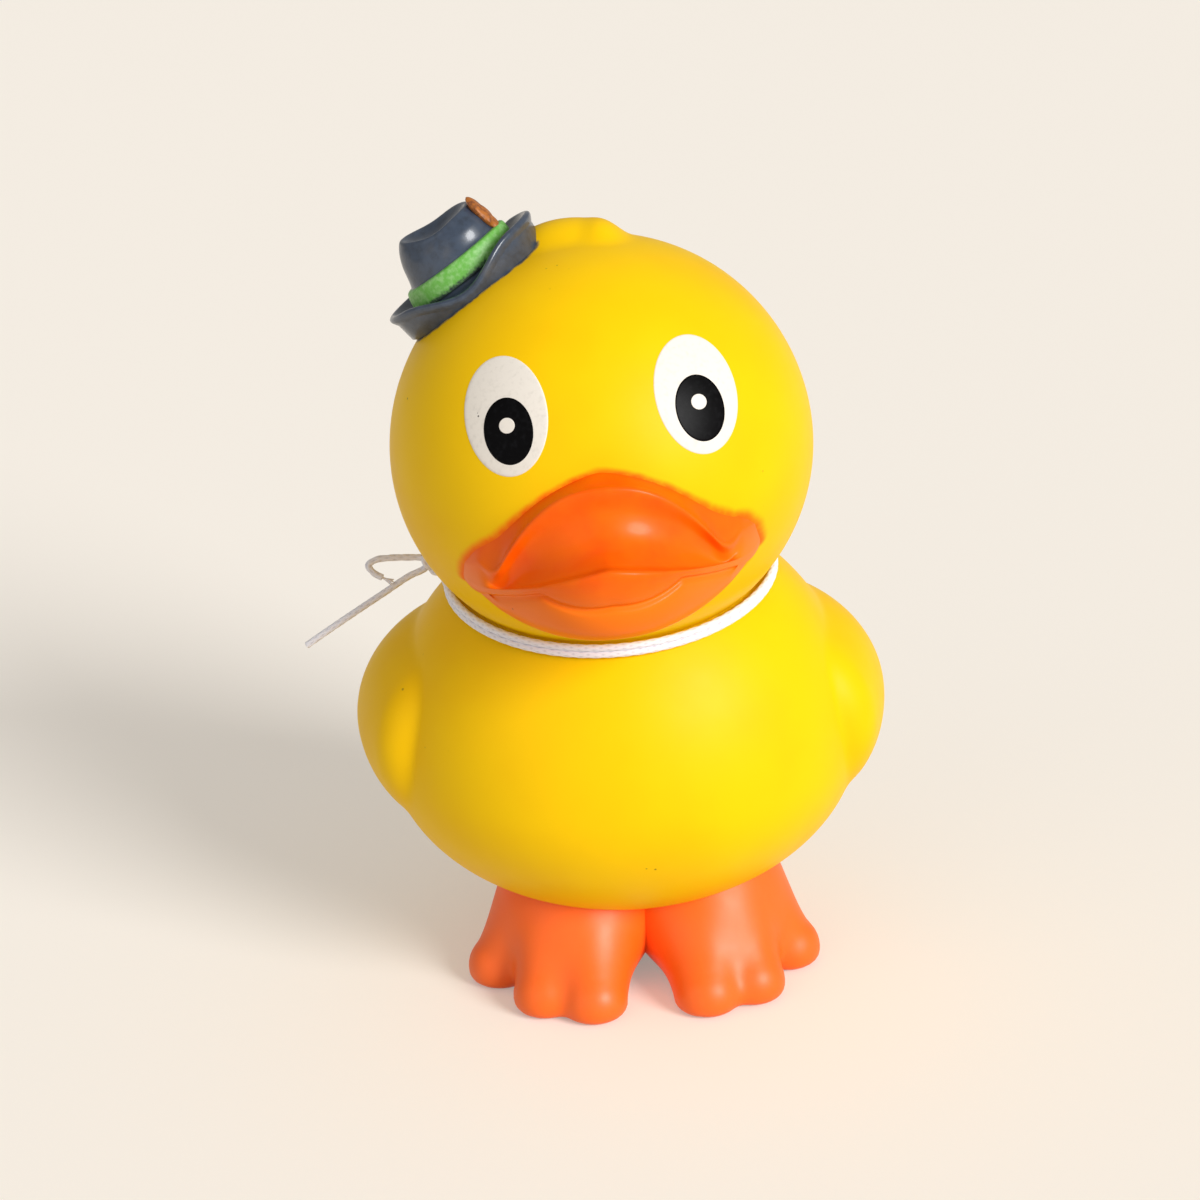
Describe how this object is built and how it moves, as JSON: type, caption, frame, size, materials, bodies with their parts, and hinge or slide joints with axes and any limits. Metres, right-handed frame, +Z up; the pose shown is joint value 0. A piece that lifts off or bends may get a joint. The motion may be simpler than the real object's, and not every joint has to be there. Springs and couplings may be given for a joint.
{
  "type": "rubber duck",
  "caption": "Standing rubber duck with a round head, wide open beak, webbed feet and a small brimmed hat, with a thin cord wound round its neck.",
  "frame": {"origin": "on the ground under the middle of the duck's own box, cord left out", "axes": "+Z up through the head, -Y the way the duck faces, +X to the viewer's right when the duck faces the viewer"},
  "size_m": [0.0636, 0.0638, 0.0867],
  "materials": {
    "yellow_vinyl": "satin moulded yellow vinyl with sprayed and printed paint",
    "white_cord": "matte white braid"
  },
  "bodies": {
    "root": {"duck_body": "yellow_vinyl", "neck_cord_turns": "white_cord", "neck_cord_knot": "white_cord", "neck_cord_tail_lower": "white_cord", "neck_cord_tail_upper": "white_cord"}
  },
  "joints": []
}
